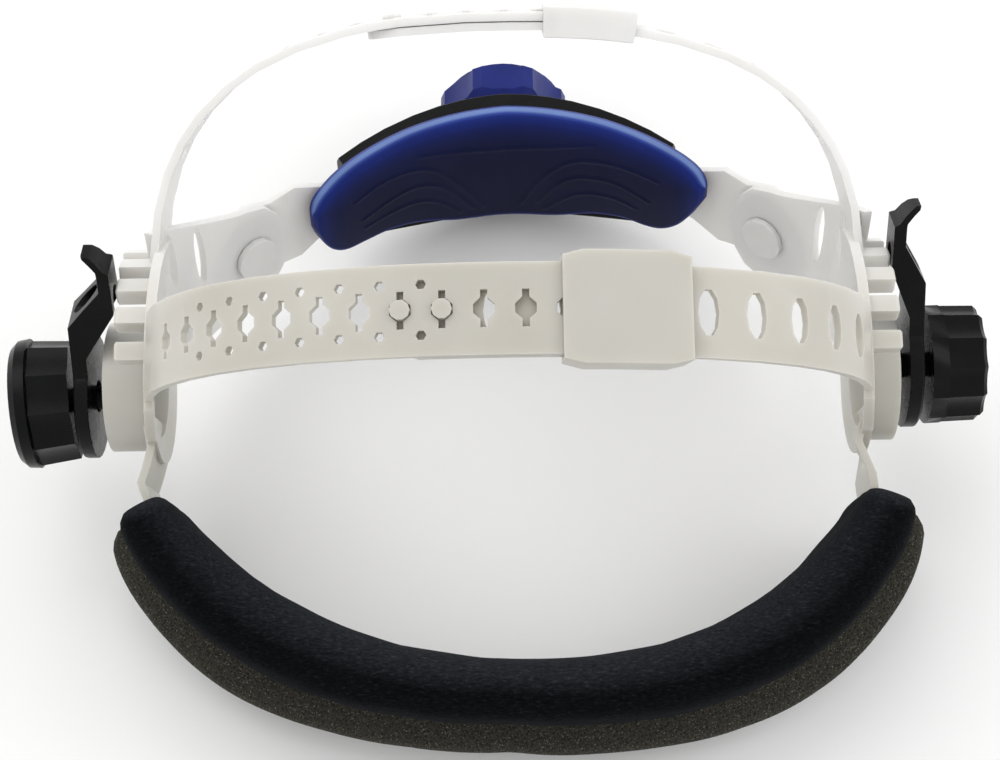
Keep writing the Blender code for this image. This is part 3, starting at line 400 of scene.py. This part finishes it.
class Line:
    """A plane curve in the meridian plane at an angle, measured along its length from the middle."""

    def __init__(self, points, angle):
        self.points = points
        turn = math.radians(angle)
        self.out = Vector((0.0, math.sin(turn), math.cos(turn)))
        lift = Vector((0.0, math.cos(turn), -math.sin(turn)))
        self.up = lift if angle < 0 else -lift
        self.along = [0.0]
        for first, second in zip(points, points[1:]):
            self.along.append(self.along[-1] + (second - first).length)
        self.middle = self.along[min(range(len(points)), key=lambda index: abs(points[index].x))]

    def place(self, distance, out=0.0, up=0.0):
        goal = min(max(distance + self.middle, 0.0), self.along[-1])
        index = next((i for i in range(1, len(self.along) - 1) if self.along[i] >= goal), len(self.along) - 1)
        first, second = self.points[index - 1], self.points[index]
        share = (goal - self.along[index - 1]) / (self.along[index] - self.along[index - 1])
        before, beyond = self.points[max(index - 2, 0)], self.points[min(index + 1, len(self.points) - 1)]
        heading = (second - before).normalized().lerp((beyond - first).normalized(), share).normalized()
        spot = first.lerp(second, share) + Vector((-heading.y, heading.x)) * out
        return HARNESS_AT + Vector((spot.x, 0.0, 0.0)) + self.out * spot.y + self.up * up

    def distance_at(self, radius, which):
        for first, second, along in zip(self.points, self.points[1:], self.along):
            low, high = sorted((first.y, second.y))
            if first.x * which > 0 and low <= radius <= high and high > low:
                share = (radius - first.y) / (second.y - first.y)
                return along + (second - first).length * share - self.middle
        return self.along[-1] - self.middle


BROW_SKEW = math.tan(math.radians(2.4))
NAPE_SKEW = math.tan(math.radians(2.5))


def skewed(points, skew, least):
    return [Vector((point.x, point.y + skew * point.x)) for point in points if point.y > least]


brow = Line(skewed(superellipse(94 * MM, 0.0, 77 * MM, 2.3), BROW_SKEW, 20 * MM), -105.3)
nape = Line(skewed(superellipse(87.5 * MM, 16 * MM, 62 * MM, 1.6), NAPE_SKEW, 18 * MM), 105.0)
print("length of the forehead line:", round(brow.along[-1] / MM, 1), "mm")


def between_rows(rows, share):
    """The columns after the first of a table, read at a share on smooth curves through its rows."""
    last = len(rows) - 1
    index = next((i for i in range(last) if share <= rows[i + 1][0]), last - 1)
    first, second = rows[index], rows[index + 1]
    before, beyond = rows[max(index - 1, 0)], rows[min(index + 2, last)]
    width = second[0] - first[0]
    t = min(max((share - first[0]) / width, 0.0), 1.0)
    found = []
    for column in range(1, len(first)):
        slope1 = (second[column] - before[column]) / (second[0] - before[0]) * width
        slope2 = (beyond[column] - first[column]) / (beyond[0] - first[0]) * width
        found.append(first[column] * (2 * t ** 3 - 3 * t ** 2 + 1) + slope1 * (t ** 3 - 2 * t ** 2 + t)
                     + second[column] * (3 * t ** 2 - 2 * t ** 3) + slope2 * (t ** 3 - t ** 2))
    return found


# %% [markdown]
# ## The sweatband's form
# A strip of foam, faced with brushed knit, is folded over the forehead band and held by its own
# spring. The fold is round on top, the knit ends in a tuck on the outside, and below it the cut edge
# of the foam stands out like a lip. A cloth simulation would blur that edge, so the form is lofted:
# one section of spline points, swept along the forehead line, thicker at the temples than in the
# middle, and then moved a little in and out by noise, because foam never lies quite even.

# %% Loft the sweatband
SWEAT_TOP, SWEAT_BOTTOM = 20.0 * MM, 21.0 * MM
SWEAT_SECTIONS = (
    # share of the half length, thickness inside the band, thickness outside it, cut foam edge beyond
    (0.00, 7.5 * MM, 7.4 * MM, 6.9 * MM),
    (0.30, 8.2 * MM, 8.2 * MM, 7.4 * MM),
    (0.62, 8.8 * MM, 9.2 * MM, 8.4 * MM),
    (0.84, 7.2 * MM, 9.4 * MM, 7.6 * MM),
    (0.94, 5.2 * MM, 9.4 * MM, 6.6 * MM),
    (1.00, 3.8 * MM, 8.6 * MM, 5.6 * MM),
)
SLOT_HALF, SLOT_ROOF = 2.8 * MM, 11.3 * MM
KNIT, FOAM = 0, 1


def sweat_section(inside, outside, flap):
    """Corners of the section as (out, up, finish of the stretch after it, how sharp the corner is)."""
    return [
        (-SLOT_HALF - 0.8 * MM, -SWEAT_BOTTOM, FOAM, 0.6), (-inside + 1.5 * MM, -SWEAT_BOTTOM, KNIT, 0.5),
        (-inside, -SWEAT_BOTTOM + 2.5 * MM, KNIT, 0.0), (-inside, 0.0, KNIT, 0.0),
        (-inside, SWEAT_TOP - 8.5 * MM, KNIT, 0.0), (-inside * 0.80, SWEAT_TOP - 2.8 * MM, KNIT, 0.0),
        (-inside * 0.30, SWEAT_TOP, KNIT, 0.0), (outside * 0.30, SWEAT_TOP, KNIT, 0.0),
        (outside * 0.80, SWEAT_TOP - 2.8 * MM, KNIT, 0.0), (outside, SWEAT_TOP - 8.5 * MM, KNIT, 0.0),
        (outside + 0.2 * MM, 3.0 * MM, KNIT, 0.0), (outside - 0.3 * MM, -1.8 * MM, KNIT, 0.0),
        (outside - 2.2 * MM, -3.9 * MM, KNIT, 0.7), (outside - 2.4 * MM, -5.0 * MM, FOAM, 0.7),
        (outside + 0.5 * MM, -5.6 * MM, FOAM, 0.0), (outside + flap - 1.4 * MM, -6.6 * MM, FOAM, 0.3),
        (outside + flap, -8.6 * MM, FOAM, 0.3), (outside + flap * 0.85, -14.0 * MM, FOAM, 0.0),
        (outside + flap * 0.6, -SWEAT_BOTTOM, FOAM, 0.5), (SLOT_HALF + 0.8 * MM, -SWEAT_BOTTOM, FOAM, 0.6),
        (SLOT_HALF, -SWEAT_BOTTOM + 1.0 * MM, FOAM, 0.3), (SLOT_HALF, SLOT_ROOF, FOAM, 0.6),
        (-SLOT_HALF, SLOT_ROOF, FOAM, 0.6), (-SLOT_HALF, -SWEAT_BOTTOM + 1.0 * MM, FOAM, 0.3),
    ]


def spline_ring(corners, parts):
    """A closed Catmull-Rom curve through the corners, whose tangents shrink where they are sharp."""
    ring = []
    count = len(corners)
    for index in range(count):
        p0, p1, p2, p3 = (Vector(corners[(index + k) % count][:2]) for k in (-1, 0, 1, 2))
        soft1, soft2 = 1 - corners[index][3], 1 - corners[(index + 1) % count][3]
        for part in range(parts):
            t = part / parts
            tangent1, tangent2 = (p2 - p0) * 0.5 * soft1, (p3 - p1) * 0.5 * soft2
            h00, h10 = 2 * t ** 3 - 3 * t ** 2 + 1, t ** 3 - 2 * t ** 2 + t
            h01, h11 = -2 * t ** 3 + 3 * t ** 2, t ** 3 - t ** 2
            ring.append((p1 * h00 + tangent1 * h10 + p2 * h01 + tangent2 * h11, corners[index][2]))
    return ring


def loft(name, rings, finishes, cap_finish=FOAM):
    """Closed rings of points joined into a tube; finishes gives the material of each stretch round it."""
    builder = bmesh.new()
    made = [[builder.verts.new(point) for point in ring] for ring in rings]
    count = len(made[0])
    for first, second in zip(made, made[1:]):
        for index in range(count):
            after = (index + 1) % count
            face = builder.faces.new((first[index], first[after], second[after], second[index]))
            face.material_index = finishes[index]
    for ring in (made[0], made[-1]):
        cap = builder.faces.new(ring)
        cap.material_index = cap_finish
    bmesh.ops.triangulate(builder, faces=[face for face in builder.faces if len(face.verts) > 4])
    bmesh.ops.recalc_face_normals(builder, faces=builder.faces)
    mesh = bpy.data.meshes.new(name)
    builder.to_mesh(mesh)
    builder.free()
    mesh.shade_smooth()
    made_object = bpy.data.objects.new(name, mesh)
    bpy.context.scene.collection.objects.link(made_object)
    return made_object


SWEAT_RINGS = 150
SWEAT_PARTS = 4
END_ROUND = 3.0 * MM
UNEVEN = 0.55 * MM
SWEAT_END_LEFT, SWEAT_END_RIGHT = 30.5 * MM, 30.8 * MM   # radii where the band leaves the foam
END_TIGHTEN = 0.16            # share by which the section shrinks at each end
SLOT_MARGIN = 0.2 * MM
sweat_ends = (brow.distance_at(SWEAT_END_LEFT, -1), brow.distance_at(SWEAT_END_RIGHT, 1))
sweat_rings, sweat_finishes = [], []
for step in range(SWEAT_RINGS + 1):
    share = step / SWEAT_RINGS
    distance = sweat_ends[0] + (sweat_ends[1] - sweat_ends[0]) * share
    side_share = distance / (sweat_ends[0] if distance < 0 else sweat_ends[1])
    inside, outside, flap = between_rows(SWEAT_SECTIONS, side_share)
    from_end = min(distance - sweat_ends[0], sweat_ends[1] - distance)
    tight = 1 - END_TIGHTEN * (1 - min(from_end / END_ROUND, 1.0)) ** 2
    ring = []
    sweat_finishes = []
    for spot, finish in spline_ring(sweat_section(inside, outside, flap), SWEAT_PARTS):
        soft = noise.noise(Vector((distance * 55, spot.x * 90, spot.y * 90))) * UNEVEN
        inner_slot = abs(spot.x) < SLOT_HALF + SLOT_MARGIN and spot.y < SLOT_ROOF + SLOT_MARGIN
        swell = 0.0 if inner_slot else soft
        out = spot.x * (1 if inner_slot else tight) + math.copysign(swell, spot.x)
        up = spot.y * (1 if inner_slot else tight) + swell * 0.5
        ring.append(brow.place(distance, out, max(up, -SWEAT_BOTTOM)))
        sweat_finishes.append(finish)
    sweat_rings.append(ring)
sweatband = loft("sweatband_pad", sweat_rings, sweat_finishes)
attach(sweatband, "harness")
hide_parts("sweatband")
print("sweatband:", len(sweatband.data.polygons), "faces")

# %% [markdown]
# ## Knit and foam
# The knit is black with a blue cast, and brushed: its short fibres stand up and turn grey-blue where
# light grazes them. A faint sheen gives a little of that, and the side that faces up and to the rear is
# painted lighter as well: painted light. The foam is cut open, so it shows its cells: olive-grey walls
# round pits that are painted dark, as painted shade, and bright specks painted on as painted glints.
# Voronoi cells give the pits, and a fine noise the painted glints.

# %% Mix the knit and the foam
knit = Finish("sweatband_fabric", 0.95, Sheen_Weight=0.03, Sheen_Roughness=0.45,
              Sheen_Tint=(0.6, 0.65, 0.75, 1.0), Specular_IOR_Level=0.03)
fibres = knit.noise(0.5, detail=4.0, roughness=0.7, stretch=(0.35, 1.0, 1.0))
tufts = knit.noise(2.2, detail=3.0)
dark_knit = knit.ramp(fibres, [(0.36, (0.0016, 0.0018, 0.0022)), (0.58, (0.0045, 0.0050, 0.0060)),
                               (0.74, (0.016, 0.018, 0.022))])
painted_lit_knit = knit.ramp(fibres, [(0.36, (0.010, 0.011, 0.013)), (0.58, (0.022, 0.024, 0.029)),
                                (0.74, (0.050, 0.055, 0.064))])
# The lighter copy of the knit goes where the surface faces up and to the rear: painted light.
knit.colour(knit.mix(dark_knit, painted_lit_knit, knit.ramp(knit.facing((0.0, 0.62, 0.78)),
                                                      [(0.45, 0.0), (0.95, 1.0)])))
knit.bump(tufts, 0.35)
knit.bump(fibres, 0.30)

foam = Finish("sweatband_foam", 0.9, Specular_IOR_Level=0.3)
# Dark cell centres are painted shade in the pits; the bright specks are painted glints.
pits = foam.cells(0.75)
walls = foam.noise(0.45, detail=3.0)
painted_glints = foam.ramp(foam.noise(0.38, detail=1.0), [(0.62, 0.0), (0.72, 1.0)])
foam_walls_and_painted_pit_shade = foam.ramp(pits, [(0.05, (0.006, 0.006, 0.004)), (0.55, (0.034, 0.032, 0.024))])
foam.colour(foam.mix(foam_walls_and_painted_pit_shade, (0.16, 0.15, 0.12), painted_glints))
foam.bump(pits, 0.35)
foam.bump(walls, 0.2)
paint(sweatband, knit, foam)

# %% [markdown]
# ## The nape pad
# The pad is a soft blue moulding, 4.6 mm thick, bent round the nape. Its upper edge arches, its lower
# edge has two rounded corners, and its face carries shallow raised lines: one long line and two nests
# of arcs, which let the skin breathe. Sculpting would do it, but a lofted grid is easier to keep exact:
# each point of the face asks how far it is from the nearest line and rises a little where it is close.

# %% Raised lines of the pad
import numpy as np

PAD_HALF_LENGTH = 57.5 * MM
PAD_SHEET = 4.6 * MM
PAD_FACE = -5.15 * MM          # the face that the nape touches, inwards from the nape line
PAD_LINES = (
    # (along, up) in millimetres, from the middle of the pad
    ((-25.5, 13.5), (-10, 11.2), (1, 10.5), (14, 12), (26.5, 15)),
    ((-45.5, 5.5), (-37.5, 8.6), (-29, 9.6), (-22, 7.6), (-17, 3), (-11, -4.5), (-7, -11)),
    ((-43.5, -2), (-34, 1.8), (-27, 3.2), (-20.5, 1.2), (-15.5, -3.5), (-10, -11)),
    ((-43, -5.5), (-32.5, -3), (-26, -2.8), (-20, -5.5), (-14, -11.5)),
    ((4.5, -10.5), (7.5, -5), (12, 1.5), (18, 6.8), (24.5, 9), (33.5, 9.4), (45.5, 7.5)),
    ((9.5, -9.5), (14.5, -2.5), (19, 1.2), (24, 2.8), (32.5, 2.8), (43, -1)),
    ((11.5, -12), (17, -7), (21, -4.3), (26, -3), (32.5, -3), (39, -5)),
)
PAD_LEFT = (
    # share of the half length, upper edge, lower edge, both from the nape line
    (0.00, 22.0 * MM, -16.3 * MM), (0.25, 21.8 * MM, -15.4 * MM), (0.45, 21.0 * MM, -12.4 * MM),
    (0.60, 19.4 * MM, -11.4 * MM), (0.75, 17.0 * MM, -12.2 * MM), (0.85, 14.4 * MM, -12.4 * MM),
    (0.92, 11.6 * MM, -10.2 * MM), (0.97, 8.8 * MM, -5.6 * MM), (1.00, 5.4 * MM, 0.0 * MM),
)
PAD_RIGHT = (
    (0.00, 22.0 * MM, -16.3 * MM), (0.25, 21.8 * MM, -15.4 * MM), (0.45, 21.2 * MM, -12.2 * MM),
    (0.60, 20.0 * MM, -11.2 * MM), (0.72, 18.6 * MM, -11.8 * MM), (0.80, 17.4 * MM, -11.0 * MM),
    (0.88, 15.8 * MM, -7.6 * MM), (0.95, 13.4 * MM, -1.6 * MM), (1.00, 9.4 * MM, 4.4 * MM),
)
RIDGE_HEIGHT, RIDGE_HALF = 0.38 * MM, 0.75 * MM


def smooth_line(points, parts=14):
    """The points of a Catmull-Rom curve through a line's points, in metres."""
    path = [Vector(point) * MM for point in points]
    path = [path[0] * 2 - path[1]] + path + [path[-1] * 2 - path[-2]]
    found = []
    for p0, p1, p2, p3 in zip(path, path[1:], path[2:], path[3:]):
        for part in range(parts):
            t = part / parts
            found.append(0.5 * (2 * p1 + (p2 - p0) * t + (2 * p0 - 5 * p1 + 4 * p2 - p3) * t * t
                                + (3 * p1 - p0 - 3 * p2 + p3) * t ** 3))
    return found


ridge_points = np.array([point for line in PAD_LINES for point in smooth_line(line)])
print("points on the raised lines:", len(ridge_points))


def ridge(along, up):
    """Height of the raised lines at a place on the face."""
    away = float(np.sqrt(((ridge_points - (along, up)) ** 2).sum(axis=1).min()))
    share = min(away / RIDGE_HALF, 1.0)
    return RIDGE_HEIGHT * (1 - share * share) ** 2


# %% [markdown]
# ## Lofting the pad
# Each ring of the loft goes up the face in small steps, round the upper edge, down the back and round
# the lower edge. While it is made, each point also learns how near it is to the rim: the moulding is
# translucent, so its rim glows, and that glow is painted into the colour as a bright blue, while the
# face stays a dark navy.

# %% Loft the pad
PAD_STATIONS, PAD_FACE_STEPS, EDGE_STEPS = 220, 58, 6
EDGE_ROUND = 1.9 * MM
CROWN = 0.9 * MM
# The glow numbers paint the rim's translucent glow into the colour: painted light.
GLOW_REACH = 3.2 * MM
DOME_FADE = 8.0 * MM           # the face flattens over this length at each end
LIP_DEPTH, LIP_DROP = 1.6 * MM, 0.8 * MM   # the bright strip along the top, and where it has faded
GLOW_FACE, GLOW_FADED, GLOW_BACK, GLOW_UNDER = 0.5, 0.4, 0.3, 0.35
EVEN_SHARE, BUNCHED_SHARE = 0.85, 0.15     # spacing of the rings: even, and closer at the ends


def pad_ring(distance):
    """Points of one ring, each with its share of the painted rim glow, which grows near the rim."""
    share = min(abs(distance) / PAD_HALF_LENGTH, 1.0)
    top, bottom = between_rows(PAD_LEFT if distance < 0 else PAD_RIGHT, share)
    middle, half = (top + bottom) / 2, (top - bottom) / 2
    end_gap = PAD_HALF_LENGTH - abs(distance)
    thin = math.sqrt(max(0.0, 1 - (1 - min(end_gap / EDGE_ROUND, 1.0)) ** 2))
    ring, glow = [], []
    for step in range(PAD_FACE_STEPS + 1):
        place = -1 + 2 * step / PAD_FACE_STEPS
        up = middle + place * (half - EDGE_ROUND)
        lift = CROWN * (1 - place * place) * min(end_gap / DOME_FADE, 1.0) + ridge(distance, up)
        ring.append((PAD_FACE + EDGE_ROUND * (1 - thin) - lift, up))
        edge_gap = min(top - EDGE_ROUND - up, end_gap)
        glow.append(GLOW_FACE * math.exp(-edge_gap / GLOW_REACH))
    for step in range(1, EDGE_STEPS + 1):
        turn = math.pi / 2 * step / EDGE_STEPS
        ring.append((PAD_FACE + EDGE_ROUND * (1 - thin * math.cos(turn)),
                     top - EDGE_ROUND * (1 - math.sin(turn))))
        glow.append(GLOW_FACE + GLOW_FACE * max(0.0, 2 * step / EDGE_STEPS - 1))
    back = PAD_FACE + PAD_SHEET
    for out, up, shine in ((back - LIP_DEPTH, top, 1.0), (back, top - LIP_DROP, GLOW_FADED),
                           (back, middle, GLOW_BACK), (back, bottom, GLOW_BACK)):
        ring.append((out - EDGE_ROUND * (1 - thin) * 0.5, up))
        glow.append(shine)
    for step in range(1, EDGE_STEPS):
        turn = math.pi / 2 * (1 - step / EDGE_STEPS)
        ring.append((PAD_FACE + EDGE_ROUND * (1 - thin * math.cos(turn)),
                     bottom + EDGE_ROUND * (1 - math.sin(turn))))
        glow.append(GLOW_UNDER)
    return [nape.place(distance, *spot) for spot in ring], glow


pad_rings, pad_glow = [], []
for step in range(PAD_STATIONS + 1):
    turn = -math.pi / 2 + math.pi * step / PAD_STATIONS
    even = -1 + 2 * step / PAD_STATIONS
    ring, glow = pad_ring(PAD_HALF_LENGTH * (EVEN_SHARE * even + BUNCHED_SHARE * math.sin(turn)))
    pad_rings.append(ring)
    pad_glow += glow
nape_cushion = loft("nape_cushion", pad_rings, [0] * len(pad_rings[0]), cap_finish=0)
rim = nape_cushion.data.attributes.new("painted_rim_glow", "FLOAT", "POINT")
rim.data.foreach_set("value", pad_glow)
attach(nape_cushion, "harness")
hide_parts("nape_pad")
print("nape pad:", len(nape_cushion.data.polygons), "faces")

# %% [markdown]
# ## The pad's finish
# Dark navy in the thick middle and a painted glow of bright blue along the rim, with a waxy, half-matt
# skin. The nearness to the rim was stored as a point attribute, so the painted glow follows the edge
# exactly.

# %% Mix the soft blue
soft_blue = Finish("pad_blue", 0.42, Specular_IOR_Level=0.12)
painted_rim_glow = soft_blue.nodes.new("ShaderNodeAttribute")
painted_rim_glow.attribute_name = "painted_rim_glow"
# The ramp runs from the pad's dark navy to a painted glow of bright blue at the rim.
navy_and_painted_rim_glow = soft_blue.ramp(painted_rim_glow.outputs["Fac"], [(0.0, (0.0058, 0.0075, 0.036)), (0.5, (0.012, 0.026, 0.20)),
                                                 (0.75, (0.03, 0.06, 0.30)), (1.0, (0.15, 0.23, 0.50))])
uneven = soft_blue.ramp(soft_blue.noise(16.0), [(0.3, (0.85, 0.85, 0.85)), (0.7, (1.0, 1.0, 1.0))])
soft_blue.colour(soft_blue.mix(navy_and_painted_rim_glow, uneven, 1.0, "MULTIPLY"))
soft_blue.rough(soft_blue.noise(5.0), 0.36, 0.50)
soft_blue.bump(soft_blue.noise(0.5, detail=2.0), 0.015)
paint(nape_cushion, soft_blue)

# %% [markdown]
# ## The CAD part's box
# The box of the CAD part is printed in millimetres. The dressed model has to stay in the CAD
# part's box, apart from what fabric may stand proud.

# %% Print the CAD box
print("CAD box in mm:", [[round(v / MM, 1) for v in corner] for corner in cad_box])
